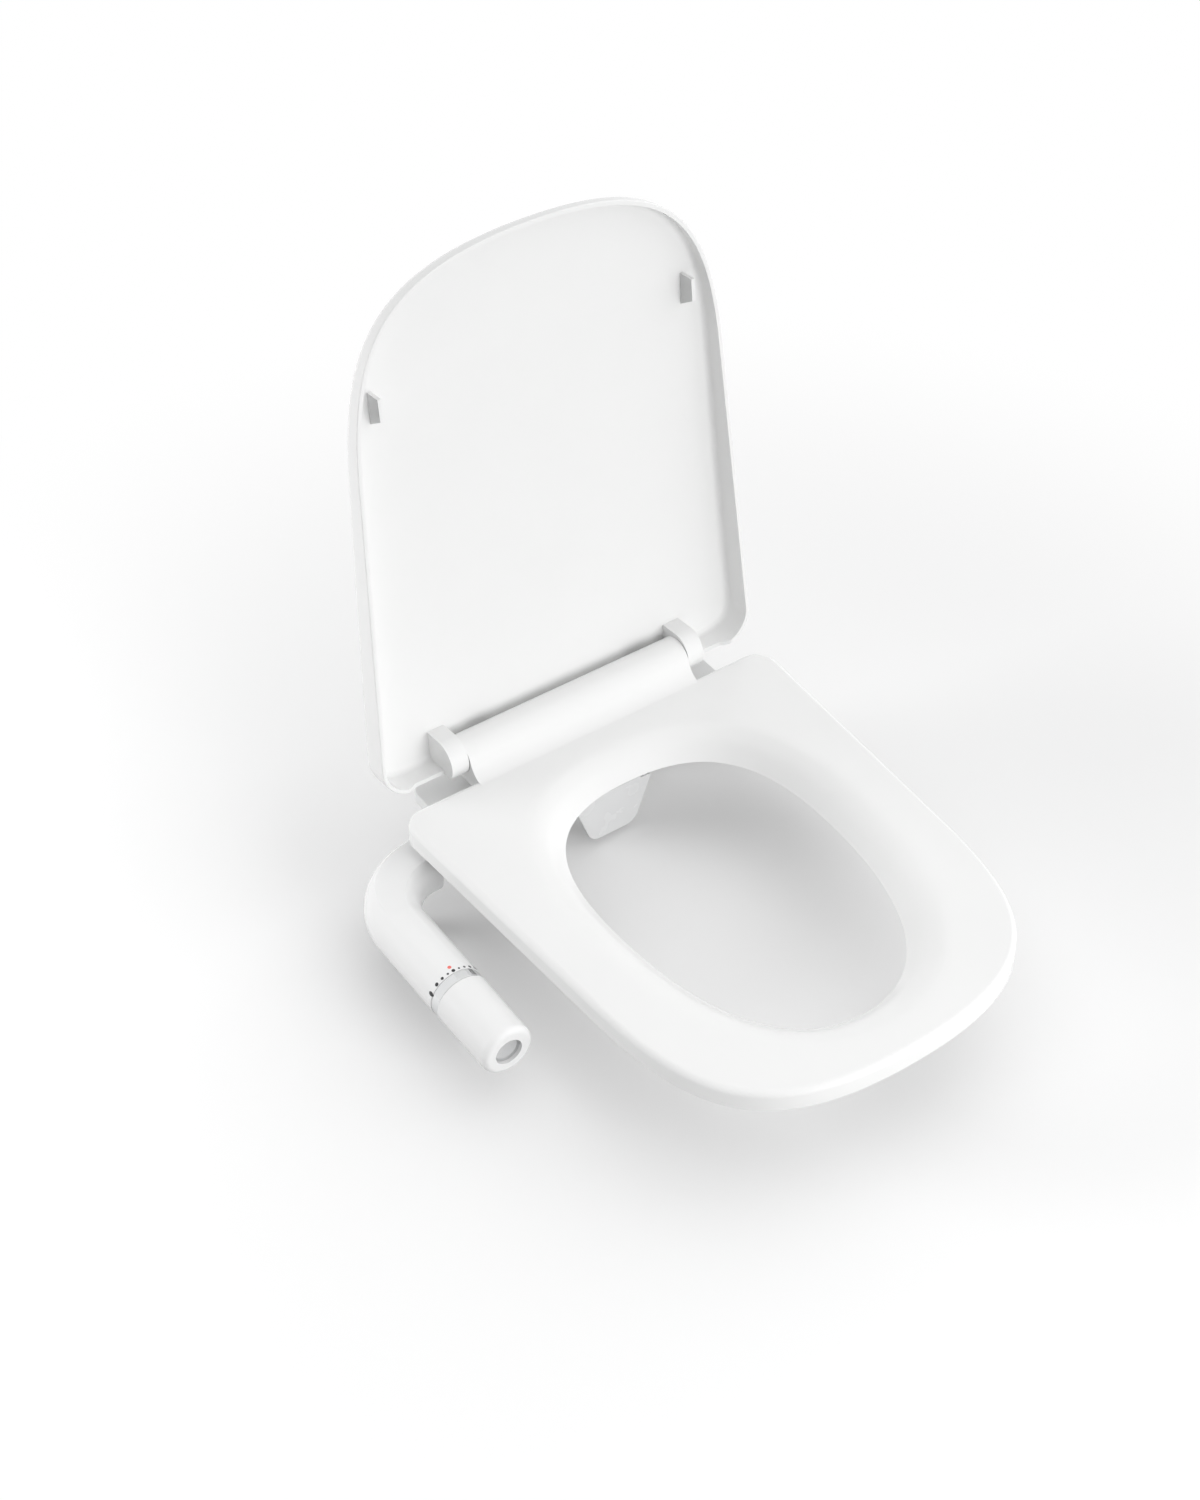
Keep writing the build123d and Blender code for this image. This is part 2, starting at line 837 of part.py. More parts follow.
def make_guard():
    shoulder_z = guard_pin_z - guard_shoulder_drop
    points = [
        (guard_neck_half, guard_pin_z),
        (guard_neck_half, shoulder_z),
        (guard_shoulder_half, shoulder_z),
        (guard_low_half, guard_bottom_z),
    ]
    mirrored = [(-x, z) for x, z in reversed(points)]
    face = make_face(Polyline(points + mirrored, close=True))
    low = face.vertices().group_by(Axis.Y)[0]
    face = fillet(low, guard_corner)
    shoulders = face.vertices().filter_by(lambda v: abs(abs(v.X) - guard_shoulder_half) < 0.01)
    face = fillet(shoulders, guard_shoulder_round)
    plate = extrude(Plane.XZ * face, amount=guard_thickness / 2, both=True)
    plate = fillet(plate.faces().filter_by(Axis.Y).edges(), guard_edge_round)
    guard = Pos(0, guard_pin_y, 0) * plate
    guard += rod_x(
        -guard_neck_half, guard_neck_half, guard_pin_y, guard_pin_z, guard_knuckle_radius
    )
    return guard - rod_x(
        -guard_neck_half, guard_neck_half, guard_pin_y, guard_pin_z,
        guard_pin_radius + running_fit,
    )


def make_guard_pin():
    reach = guard_lug_inner + guard_lug_width
    return rod_x(-reach, reach, guard_pin_y, guard_pin_z, guard_pin_radius)


def elbow(radius, z, root_x, front_y):
    path = FilletPolyline((root_x, arm_y, z), (arm_x, arm_y, z), (arm_x, front_y, z), radius=arm_bend)
    section = Plane(path @ 0, z_dir=path % 0) * Circle(radius)
    return sweep(section, path=path)


def make_arm():
    arm = elbow(arm_radius, arm_z, duct_outer - root_block_wall, arm_front)
    # A shallow flat on top fades out towards the dial.
    crest = arm_z + arm_radius
    far_y = 0.0
    fall = arm_flat_slope * (far_y - arm_flat_start)
    wedge = Polyline(
        (arm_flat_start, crest), (far_y, crest - fall), (far_y, crest + 1), (arm_flat_start, crest + 1),
        close=True,
    )
    flat = make_face(Plane.YZ * wedge)
    arm -= Pos(arm_x - arm_radius, 0, 0) * extrude(flat, amount=2 * arm_radius + abs(arm_x))
    arm += block(
        root_block_outer, duct_outer, root_block_front, root_block_rear, root_block_bottom, duct_top
    )
    arm += block(duct_outer, -base_half, duct_front, duct_rear, base_floor, duct_top)
    passage_end = (root_block_outer + duct_outer) / 2
    arm -= elbow(passage_radius, arm_z - passage_drop, passage_end, valve_back)
    arm -= block(
        root_channel_outer, duct_outer, duct_channel_front, duct_channel_rear,
        root_channel_bottom, duct_channel_top,
    )
    arm -= block(
        duct_outer, -base_half, duct_channel_front, duct_channel_rear,
        base_floor, duct_channel_top,
    )
    arm -= rod_y(valve_back, arm_front, arm_x, arm_z, valve_radius)
    for x, y in arm_screw_places():
        arm -= rod_z(base_floor, screw_length, x, y, screw_radius)
    arm -= rod_z(
        arm_z - arm_radius, inlet_top(), inlet_x, inlet_y(), inlet_spigot_radius
    )
    return arm


def inlet_y():
    """The inlet stands under the bend, on the arm's centre line."""
    centre_x = arm_x + arm_bend
    across = inlet_x - centre_x
    return arm_y - arm_bend + sqrt(arm_bend**2 - across**2)


def inlet_top():
    return arm_z - arm_radius + inlet_spigot_height


def make_inlet():
    low = arm_z - arm_radius
    y = inlet_y()
    stub_low = low - inlet_hex_height - inlet_length
    hexagon = Pos(inlet_x, y, low - inlet_hex_height) * extrude(
        RegularPolygon(inlet_hex_radius, 6), amount=inlet_hex_height
    )
    inlet = hexagon + rod_z(stub_low, low - inlet_hex_height, inlet_x, y, inlet_radius)
    inlet += rod_z(low, inlet_top(), inlet_x, y, inlet_spigot_radius)
    return inlet - rod_z(stub_low, inlet_top(), inlet_x, y, inlet_bore)


def make_inlet_filter():
    low = arm_z - arm_radius - inlet_hex_height - inlet_length
    middle = low + inlet_length / 2
    mesh = rod_z(middle, middle + filter_height, inlet_x, inlet_y(), inlet_bore)
    return mesh


def make_valve_body():
    body = rod_y(valve_back, arm_front, arm_x, arm_z, valve_radius)
    body += rod_y(arm_front, arm_front - collar_length, arm_x, arm_z, nose_radius)
    gland_front = gland_start() - gland_height
    body -= rod_y(chamber_floor, gland_front, arm_x, arm_z, chamber_radius)
    body -= rod_y(gland_front, arm_front - collar_length, arm_x, arm_z, pivot_radius + running_fit)
    return body


def gland_start():
    flange = chamber_floor - 2 * disc_thickness - disc_lift - spindle_flange_height
    return flange - disc_lift - seal_height


def make_fixed_disc():
    return rod_y(
        chamber_floor, chamber_floor - disc_thickness, arm_x, arm_z, chamber_radius
    )


def moving_disc_back():
    return chamber_floor - disc_thickness - disc_lift


def make_moving_disc():
    back = moving_disc_back()
    return rod_y(back, back - disc_thickness, arm_x, arm_z, chamber_radius - running_fit)


def make_spindle():
    back = moving_disc_back() - disc_thickness
    front = knob_start - knob_hub_setback - spindle_engage
    spindle = rod_y(back, back - spindle_flange_height, arm_x, arm_z, chamber_radius - running_fit)
    spindle += rod_y(back - spindle_flange_height, front, arm_x, arm_z, pivot_radius)
    return spindle - rod_y(screw_point(), front, arm_x, arm_z, knob_screw_radius)


def make_spindle_seal():
    back = gland_start() + seal_height
    ring = rod_y(back, gland_start(), arm_x, arm_z, chamber_radius)
    return ring - rod_y(back, gland_start(), arm_x, arm_z, pivot_radius + running_fit)


def make_valve_gland():
    start = gland_start()
    ring = rod_y(start, start - gland_height, arm_x, arm_z, chamber_radius)
    return ring - rod_y(start, start - gland_height, arm_x, arm_z, pivot_radius + running_fit)


def make_collar():
    ring = rod_y(arm_front, arm_front - collar_length, arm_x, arm_z, collar_radius)
    ring = fillet(ring.edges().group_by(Axis.Y)[0], 0.6)
    return ring - rod_y(arm_front, arm_front - collar_length, arm_x, arm_z, nose_radius)


def screw_seat():
    return knob_end + cap_pocket


def screw_point():
    return screw_seat() + knob_screw_length


def make_knob():
    root = knob_start
    profile = make_face(
        Polyline(
            (0, 0),
            (knob_root_radius, 0),
            (knob_end_radius, knob_length),
            (0, knob_length),
            close=True,
        )
    )
    knob = revolve(Plane.XZ * profile, Axis.Z)
    knob = fillet(knob.edges().group_by(Axis.Z)[-1], knob_end_round)
    knob = fillet(knob.edges().group_by(Axis.Z)[0], 0.8)
    knob = Pos(arm_x, root, arm_z) * Rot(90, 0, 0) * knob
    web_back = screw_seat() + knob_web
    hollow = rod_y(root, web_back, arm_x, arm_z, knob_end_radius - knob_wall)
    hub = rod_y(root - knob_hub_setback, web_back, arm_x, arm_z, knob_hub_radius)
    knob -= hollow - hub
    knob -= rod_y(
        root, root - knob_hub_setback - spindle_engage, arm_x, arm_z, pivot_radius + key_fit
    )
    knob -= rod_y(knob_end, screw_seat(), arm_x, arm_z, cap_radius)
    return knob - rod_y(screw_seat(), screw_point(), arm_x, arm_z, knob_screw_radius)


def make_knob_screw():
    head = rod_y(
        screw_seat(), screw_seat() - knob_screw_head_height, arm_x, arm_z, knob_screw_head_radius
    )
    return head + rod_y(screw_seat(), screw_point(), arm_x, arm_z, knob_screw_radius)


def make_knob_cap():
    """Shallow domed cap that closes the screw pocket."""
    radius = cap_radius - key_fit
    dome_radius = (radius**2 + cap_dome**2) / (2 * cap_dome)
    crown = knob_end + cap_recess
    cap = rod_y(crown, screw_seat() - knob_screw_head_height, arm_x, arm_z, radius)
    return cap & (Pos(arm_x, crown + dome_radius, arm_z) * Sphere(dome_radius))


def make_tube(offset):
    """Wash tube from the valve round the bend, up through its root and along the base."""
    z_duct = (base_floor + duct_channel_top) / 2
    lane_x = arm_x + offset
    lane_y = arm_y - offset
    path = FilletPolyline(
        (lane_x, valve_back, tube_low_z),
        (lane_x, lane_y, tube_low_z),
        (tube_riser_x, lane_y, tube_low_z),
        (tube_riser_x, lane_y, z_duct),
        (-housing_flange_half, lane_y, z_duct),
        radius=[arm_bend - offset, tube_bend, tube_bend],
    )
    section = Plane(path @ 0, z_dir=path % 0) * Circle(tube_radius)
    return sweep(section, path=path)


def make_parts():
    return {
        "lid": swung_open(make_lid()),
        "lid_bumpers": swung_open(make_lid_bumpers()),
        "lid_damper_shaft": swung_open(make_lid_damper_shaft()),
        "seat_ring": make_seat(),
        "seat_bumpers": make_seat_bumpers(),
        "seat_damper_shaft": make_seat_damper_shaft(),
        "left_hinge_post": make_left_post(),
        "right_hinge_post": make_right_post(),
        "lid_damper": make_lid_damper(),
        "seat_damper": make_seat_damper(),
        "hinge_pin": make_hinge_pin(),
        "hinge_studs": for_both_sides(stud),
        "mounting_discs": for_both_sides(mounting_disc),
        "cone_washers": for_both_sides(cone_washer),
        "wing_nuts": for_both_sides(wing_nut),
        "base_top": make_base_top(),
        "base_bottom": make_base_bottom(),
        "base_screws": make_screws(base_screw_places()),
        "arm_screws": make_screws(arm_screw_places()),
        "nozzle_housing": make_housing(),
        "rear_nozzle": make_nozzle(-nozzle_x),
        "front_nozzle": make_nozzle(nozzle_x),
        "rear_nozzle_spring": make_spring(-nozzle_x),
        "front_nozzle_spring": make_spring(nozzle_x),
        "nozzle_guard": make_guard(),
        "guard_pin": make_guard_pin(),
        "control_arm": make_arm(),
        "inlet_connector": make_inlet(),
        "inlet_filter": make_inlet_filter(),
        "valve_body": make_valve_body(),
        "fixed_disc": make_fixed_disc(),
        "moving_disc": make_moving_disc(),
        "valve_spindle": make_spindle(),
        "spindle_seal": make_spindle_seal(),
        "valve_gland": make_valve_gland(),
        "dial_collar": make_collar(),
        "control_knob": make_knob(),
        "knob_screw": make_knob_screw(),
        "knob_cap": make_knob_cap(),
        "rear_wash_tube": make_tube(rear_tube_offset),
        "front_wash_tube": make_tube(front_tube_offset),
    }


os.makedirs("parts", exist_ok=True)
for name, shape in make_parts().items():
    export_step(shape, f"parts/{name}.step")
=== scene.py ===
"""Looks of a water-powered bidet seat: glossy white mouldings, chrome trim and the hardware below.

Metres in the scene. Named sizes are in millimetres and named angles in degrees, except where a
heading says otherwise. Front is -Y, up is +Z.
"""

import json
from math import cos, radians, sin

import bmesh
import bpy
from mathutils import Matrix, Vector


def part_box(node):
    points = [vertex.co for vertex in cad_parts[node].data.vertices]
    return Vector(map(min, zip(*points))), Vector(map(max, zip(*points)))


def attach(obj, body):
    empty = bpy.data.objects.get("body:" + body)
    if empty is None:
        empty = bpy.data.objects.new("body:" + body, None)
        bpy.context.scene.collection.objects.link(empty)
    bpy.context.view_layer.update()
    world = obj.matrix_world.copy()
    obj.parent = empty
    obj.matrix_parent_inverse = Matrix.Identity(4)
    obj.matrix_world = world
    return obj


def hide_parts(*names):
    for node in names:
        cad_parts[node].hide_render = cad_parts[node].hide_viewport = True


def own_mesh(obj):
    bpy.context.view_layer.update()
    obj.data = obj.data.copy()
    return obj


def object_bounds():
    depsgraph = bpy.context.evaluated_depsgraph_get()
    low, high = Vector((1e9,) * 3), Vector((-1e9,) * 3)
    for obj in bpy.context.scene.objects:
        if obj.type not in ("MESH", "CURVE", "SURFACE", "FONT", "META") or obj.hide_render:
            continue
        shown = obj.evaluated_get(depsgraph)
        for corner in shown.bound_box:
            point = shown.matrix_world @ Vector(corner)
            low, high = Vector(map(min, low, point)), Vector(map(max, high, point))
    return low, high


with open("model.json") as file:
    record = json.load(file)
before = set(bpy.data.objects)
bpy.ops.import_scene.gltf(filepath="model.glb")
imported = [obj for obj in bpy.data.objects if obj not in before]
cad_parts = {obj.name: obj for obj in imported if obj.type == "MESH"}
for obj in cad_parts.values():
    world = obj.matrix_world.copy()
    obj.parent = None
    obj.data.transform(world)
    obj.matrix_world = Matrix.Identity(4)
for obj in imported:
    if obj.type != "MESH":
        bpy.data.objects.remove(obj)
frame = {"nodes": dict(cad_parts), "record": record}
cad_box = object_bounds()

MM = 0.001
SIDES = (-1, 1)

# View
VIEW_TARGET = (-89.73, -169.22, 162.66)
VIEW_AZIMUTH = -35.16
VIEW_ELEVATION = 42.63
VIEW_DISTANCE = 1760.23
VIEW_END = 50000.0
FOCAL_LENGTH = 58.54
SENSOR = 36.0

# Mouldings: the two tones of the plastic's faint clouds, its roughness, and the strength and
# fineness of the ripple on it
PLASTICS = {
    "seat_white": dict(dark=(0.855, 0.857, 0.855), light=(0.885, 0.886, 0.883), rough=0.17),
    "arm_white": dict(dark=(0.86, 0.862, 0.862), light=(0.885, 0.886, 0.886), rough=0.15),
    "base_white": dict(
        dark=(0.78, 0.785, 0.785), light=(0.82, 0.823, 0.82), rough=0.34, ripple=0.12, fine=900.0
    ),
    "guard_grey": dict(dark=(0.82, 0.826, 0.828), light=(0.85, 0.854, 0.856), rough=0.24),
    "bumper_grey": dict(
        dark=(0.84, 0.843, 0.842), light=(0.87, 0.872, 0.87), rough=0.42, ripple=0.15, fine=1400.0
    ),
    # A darker copy of the pad plastic: painted shade for the pads' sideways flanks
    "bumper_flank_shade": dict(
        dark=(0.62, 0.625, 0.625), light=(0.67, 0.673, 0.67), rough=0.42, ripple=0.15, fine=1400.0
    ),
    "damper_grey": dict(
        dark=(0.16, 0.165, 0.17), light=(0.2, 0.2, 0.21), rough=0.42, ripple=0.2, fine=1200.0
    ),
    "nut_white": dict(
        dark=(0.74, 0.74, 0.72), light=(0.79, 0.79, 0.77), rough=0.42, ripple=0.15, fine=800.0
    ),
    "ceramic": dict(
        dark=(0.78, 0.76, 0.71), light=(0.83, 0.81, 0.77), rough=0.2, ripple=0.06, fine=1800.0
    ),
    "seal_black": dict(
        dark=(0.02, 0.02, 0.02), light=(0.04, 0.04, 0.04), rough=0.55, ripple=0.3, fine=1500.0
    ),
    "tube_clear": dict(
        dark=(0.66, 0.72, 0.75), light=(0.74, 0.79, 0.81), rough=0.25, ripple=0.05, fine=500.0
    ),
}

# Metals: the two tones of the surface, its roughness, and the stretch, fineness and strength of the
# grain on it
METALS = {
    "chrome": dict(dark=(0.72, 0.73, 0.735), light=(0.79, 0.795, 0.80), rough=0.06, relief=0.01),
    "cap_metal": dict(
        dark=(0.60, 0.605, 0.61), light=(0.74, 0.745, 0.75), rough=0.14, lay=(1, 1, 6), fine=220.0
    ),
    "steel": dict(dark=(0.48, 0.49, 0.50), light=(0.62, 0.62, 0.63), rough=0.26, lay=(1, 1, 8)),
    "brass": dict(dark=(0.62, 0.44, 0.19), light=(0.72, 0.54, 0.26), rough=0.25, lay=(1, 1, 6)),
}

# Surface detail: noises with their scale per metre, how far they change the roughness, and how high
# they stand
NOISE_MIDDLE = (0.3, 0.7)
CLOUDS = dict(scale=9.0, detail=3.0)
POLISH = dict(scale=55.0, detail=4.0)
POLISH_RANGE = (0.8, 1.25)
RIPPLE_DETAIL = 2.0
RIPPLE_HEIGHT = 0.3
PLASTIC_IOR = 1.49
TARNISH = dict(scale=40.0, detail=3.0)
GRAIN_DETAIL = 5.0
GRAIN_RANGE = (0.7, 1.4)
GRAIN_HEIGHT = 0.2
INK_PATCHES = dict(scale=1800.0, detail=3.0)
INK_ROUGH = 0.35
THIN_INK_LIFT = 0.03
THIN_INK_GAIN = 1.2

# Shading of the nodes' skins
WELD = 0.002
CREASE = 28.0
CREASE_OF_NODE = {"control_arm": 60.0}
FINISH_OF_NODE = {"knob_cap": "cap_metal"}

# Pads on the lid, which leans back by this angle: the share of their width that is left, the slant of
# their lower end, how far their foot runs on, and how squarely a flank has to face sideways to get
# the painted shade
LID_LEAN = 6.7
BUMPER_THIN = 0.6
BUMPER_SLANT = 8.0
BUMPER_FOOT = 4.0
SHADED_FLANK_FACING = 0.7

# Control arm and dial: each dot has its turn from the arm's top and its size
ARM_X = -221.5
ARM_Z = -13.0
ARM_RADIUS = 22.6
COLLAR_REAR = -170.4
COLLAR_FRONT = -178.4
KNOB_REAR = -179.0
DOT_RING_Y = -168.0
DOTS = (
    (65.0, 1.7),
    (42.5, 1.55),
    (27.0, 1.25),
    (13.5, 0.95),
    (1.0, 1.45),
    (-11.5, 0.9),
    (-24.0, 1.05),
    (-38.0, 1.35),
    (-54.0, 1.7),
)
DOT_INK = (0.012, 0.012, 0.014)
LONG_DOT_TURN = 60.0
LONG_DOT_STRETCH = 1.6
MARK_Y = -163.6
MARK_TURN = 2.7
MARK_SIZE = 1.5
MARK_INK = (0.78, 0.16, 0.13)
ROUND_SIDES = 20
INK_THICKNESS = 0.08

# Threads below
STUD_X = 77.5
STUD_END = -62.0
STUD_THREAD = 27.0
STUD_CORE = 3.85
STUD_PITCH = 1.25
STUD_RIDGE = 0.42
INLET_CORE = 10.4
INLET_THREAD = 13.5
INLET_PITCH = 1.81
INLET_RIDGE = 0.55
HELIX_STEPS = 32
RIDGE_SIDES = 4

# Nozzles: tip of the one on the right, tube, the black discs painted as shade in the spray holes, and
# return springs
NOZZLE_SIDE = {"rear": SIDES[0], "front": SIDES[1]}
NOZZLE_TIP = (9.5, -50.0, -52.0)
NOZZLE_TILT = 25.0
NOZZLE_RADIUS = 4.2
HOLE_SIZE = 0.5
HOLE_RUNS = (4.5, 6.5, 8.5)

# Light, in metres and watts: a sky that is brightest on the right and overhead, a front softbox and
# a fill from behind on the left, which reaches only the outer sides
SKY_RIGHT = 1.35
SKY_TOP = 0.76
WHITE = 1.0
FRONT_PLACE = (0.15, -2.4, 0.55)
FRONT_AIM = (0, -0.2, 0.05)
FRONT_SIZE = 1.5
FRONT_POWER = 30.0
FILL_PLACE = (-1.5, 0.9, 0.45)
FILL_AIM = (-0.18, -0.1, 0.1)
FILL_SIZE = 0.9
FILL_POWER = 17.5

# Floor: its tone for the light it returns, the tone that is seen, and the ring in which what is seen
# fades to the white around it
FLOOR_TONE = 0.45
FLOOR_ROUGH = 0.9
FLOOR_SEEN_TONE = 0.92
FADE_START = 450.0
FADE_END = 950.0
FADE_MIDDLE = (-40.0, -190.0, 0.0)
FLOOR_GAP = 1.0
FLOOR_SIZE = 6000.0


def add_node(tree, kind, **inputs):
    """Adds a shader or geometry node and sets its plain inputs by name."""
    node = tree.nodes.new(kind)
    for name, value in inputs.items():
        node.inputs[name.replace("_", " ")].default_value = value
    return node


def combine(tree, operation, first, second):
    """The result of a maths node on two sockets or plain numbers."""
    node = tree.nodes.new("ShaderNodeMath")
    node.operation = operation
    for socket, value in zip(node.inputs, (first, second)):
        if isinstance(value, bpy.types.NodeSocket):
            tree.links.new(value, socket)
        else:
            socket.default_value = value
    return node.outputs["Value"]


def new_material(name):
    """A material with its node tree and the shader that it shows."""
    material = bpy.data.materials.new(name)
    material.use_nodes = True
    tree = material.node_tree
    tree.nodes.clear()
    output = tree.nodes.new("ShaderNodeOutputMaterial")
    shader = tree.nodes.new("ShaderNodeBsdfPrincipled")
    tree.links.new(shader.outputs["BSDF"], output.inputs["Surface"])
    return material, tree, shader


def object_noise(tree, scale, detail, stretch=(1, 1, 1)):
    """Noise on object coordinates, with an optional stretch along one axis."""
    coords = tree.nodes.new("ShaderNodeTexCoord")
    mapping = add_node(tree, "ShaderNodeMapping", Scale=stretch)
    noise = add_node(tree, "ShaderNodeTexNoise", Scale=scale, Detail=detail)
    tree.links.new(coords.outputs["Object"], mapping.inputs["Vector"])
    tree.links.new(mapping.outputs["Vector"], noise.inputs["Vector"])
    return noise.outputs["Fac"]


def tint(tree, shader, noise, dark, light):
    """Colours the surface between two tones, by a noise."""
    mix = tree.nodes.new("ShaderNodeMix")
    mix.data_type = "RGBA"
    mix.inputs["A"].default_value = (*dark, 1)
    mix.inputs["B"].default_value = (*light, 1)
    tree.links.new(noise, mix.inputs["Factor"])
    tree.links.new(mix.outputs["Result"], shader.inputs["Base Color"])


def roughen(tree, shader, noise, rough, shares):
    """Varies the roughness between two shares of it, by the middle of a noise."""
    ramp = tree.nodes.new("ShaderNodeMapRange")
    ramp.inputs["From Min"].default_value = NOISE_MIDDLE[0]
    ramp.inputs["From Max"].default_value = NOISE_MIDDLE[1]
    ramp.inputs["To Min"].default_value = rough * shares[0]
    ramp.inputs["To Max"].default_value = rough * shares[1]
    tree.links.new(noise, ramp.inputs["Value"])
    tree.links.new(ramp.outputs["Result"], shader.inputs["Roughness"])


def emboss(tree, shader, noise, strength, height):
    """Raises the surface by a noise."""
    bump = add_node(tree, "ShaderNodeBump", Strength=strength, Distance=height * MM)
    tree.links.new(noise, bump.inputs["Height"])
    tree.links.new(bump.outputs["Normal"], shader.inputs["Normal"])


def moulded(name, dark, light, rough, ripple=0.03, fine=260.0):
    """Injection-moulded plastic: faint clouds, a fine ripple and uneven polish."""
    material, tree, shader = new_material(name)
    tint(tree, shader, object_noise(tree, **CLOUDS), dark, light)
    roughen(tree, shader, object_noise(tree, **POLISH), rough, POLISH_RANGE)
    emboss(tree, shader, object_noise(tree, fine, RIPPLE_DETAIL), ripple, RIPPLE_HEIGHT)
    shader.inputs["IOR"].default_value = PLASTIC_IOR
    return material


def metal(name, dark, light, rough, lay=(1, 1, 1), fine=300.0, relief=0.04):
    """Bare or plated metal with a drawn or polished grain."""
    material, tree, shader = new_material(name)
    tint(tree, shader, object_noise(tree, **TARNISH), dark, light)
    grain = object_noise(tree, fine, GRAIN_DETAIL, lay)
    roughen(tree, shader, grain, rough, GRAIN_RANGE)
    emboss(tree, shader, grain, relief, GRAIN_HEIGHT)
    shader.inputs["Metallic"].default_value = 1.0
    return material


def print_ink(name, colour):
    """Pad-printed ink, a little paler at its thin places."""
    material, tree, shader = new_material(name)
    thin = tuple(min(1.0, THIN_INK_LIFT + part * THIN_INK_GAIN) for part in colour)
    tint(tree, shader, object_noise(tree, **INK_PATCHES), colour, thin)
    shader.inputs["Roughness"].default_value = INK_ROUGH
    return material


def make_finishes():
    """Every finish, by the name of the slot or the piece that wears it."""
    finishes = {name: moulded(name, **look) for name, look in PLASTICS.items()}
    finishes.update({name: metal(name, **look) for name, look in METALS.items()})
    return finishes


def link_object(name, data):
    """A new object in the scene, at the origin."""
    obj = bpy.data.objects.new(name, data)
    bpy.context.scene.collection.objects.link(obj)
    return obj


def smooth_copy(node, finish, crease):
    """A welded, smoothly shaded copy of a node that stands for it."""
    mesh = frame["nodes"][node].data.copy()
    shape = bmesh.new()
    shape.from_mesh(mesh)
    bmesh.ops.remove_doubles(shape, verts=shape.verts, dist=WELD * MM)
    shape.to_mesh(mesh)
    shape.free()
    if "custom_normal" in mesh.attributes:
        mesh.attributes.remove(mesh.attributes["custom_normal"])
    mesh.materials.clear()
    mesh.materials.append(finish)
    mesh.shade_smooth()
    mesh.set_sharp_from_angle(angle=radians(crease))
    skin = link_object(node + "_skin", mesh)
    weight = skin.modifiers.new("weight", "WEIGHTED_NORMAL")
    weight.keep_sharp = True
    weight.mode = "FACE_AREA_WITH_ANGLE"
    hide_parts(node)
    return skin


def lengthen_collar(mesh):
    """Draws the chrome ring out to its full width, with a seam on each side."""
    rear = max(vertex.co.y for vertex in mesh.vertices)
    front = min(vertex.co.y for vertex in mesh.vertices)
    scale = (COLLAR_REAR - COLLAR_FRONT) * MM / (rear - front)
    for vertex in mesh.vertices:
        vertex.co.y = COLLAR_REAR * MM + (vertex.co.y - rear) * scale


def shorten_knob(mesh):
    """Draws the knob's open end back to leave room for the ring."""
    for vertex in mesh.vertices:
        vertex.co.y = min(vertex.co.y, KNOB_REAR * MM)


def shape_bumpers(mesh):
    """Thins each pad and slants its lower end, so that its foot on the lid is its longest side."""
    lean = radians(LID_LEAN)
    along = Vector((0, sin(lean), cos(lean)))
    out = Vector((0, -cos(lean), sin(lean)))
    for side in SIDES:
        pad = [vertex for vertex in mesh.vertices if vertex.co.x * side > 0]
        runs = [vertex.co.dot(along) for vertex in pad]
        rises = [vertex.co.dot(out) for vertex in pad]
        middle = sum(vertex.co.x for vertex in pad) / len(pad)
        for vertex, run, rise in zip(pad, runs, rises):
            below = (max(runs) - run) / (max(runs) - min(runs))
            proud = (rise - min(rises)) / (max(rises) - min(rises))
            vertex.co += along * below * (BUMPER_SLANT * proud - BUMPER_FOOT) * MM
            vertex.co.x = middle + (vertex.co.x - middle) * BUMPER_THIN


def shade_bumper_flanks(mesh, flank_shade_finish):
    """Paints shade on the pads' flanks with a darker copy of their finish, and leaves their contact
    faces in the pad's own tone.
    """
    mesh.materials.append(flank_shade_finish)
    for face in mesh.polygons:
        # Faces that turn sideways get the darker copy: painted shade
        if abs(face.normal.x) > SHADED_FLANK_FACING:
            face.material_index = 1


def nozzle_line(side):
    """A nozzle's tip, in millimetres, and the direction of its tube from there."""
    tilt = radians(NOZZLE_TILT)
    return Vector((side * NOZZLE_TIP[0], *NOZZLE_TIP[1:])), Vector((0, sin(tilt), cos(tilt)))


def press_springs(skins):
    """Gives each nozzle's return spring a mesh of its own."""
    for name, side in NOZZLE_SIDE.items():
        spring = skins[name + "_nozzle_spring"]
        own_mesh(spring)


def dress_nodes(finishes):
    """Gives every node a smooth skin in the finish of its slot, on the node's own body."""
    slot_of_node = {part["node"]: part["material_slot"] for part in frame["record"]["subparts"]}
    skins = {}
    for body, members in frame["record"]["behaviour"]["bodies"].items():
        for node in members:
            slot = slot_of_node[node]
            finish = finishes[FINISH_OF_NODE.get(node, slot)]
            skins[node] = smooth_copy(node, finish, CREASE_OF_NODE.get(node, CREASE))
            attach(skins[node], body)
    lengthen_collar(skins["dial_collar"].data)
    shorten_knob(skins["control_knob"].data)
    shape_bumpers(skins["lid_bumpers"].data)
    # Painted shade on the pads' flanks
    shade_bumper_flanks(skins["lid_bumpers"].data, finishes["bumper_flank_shade"])
    press_springs(skins)


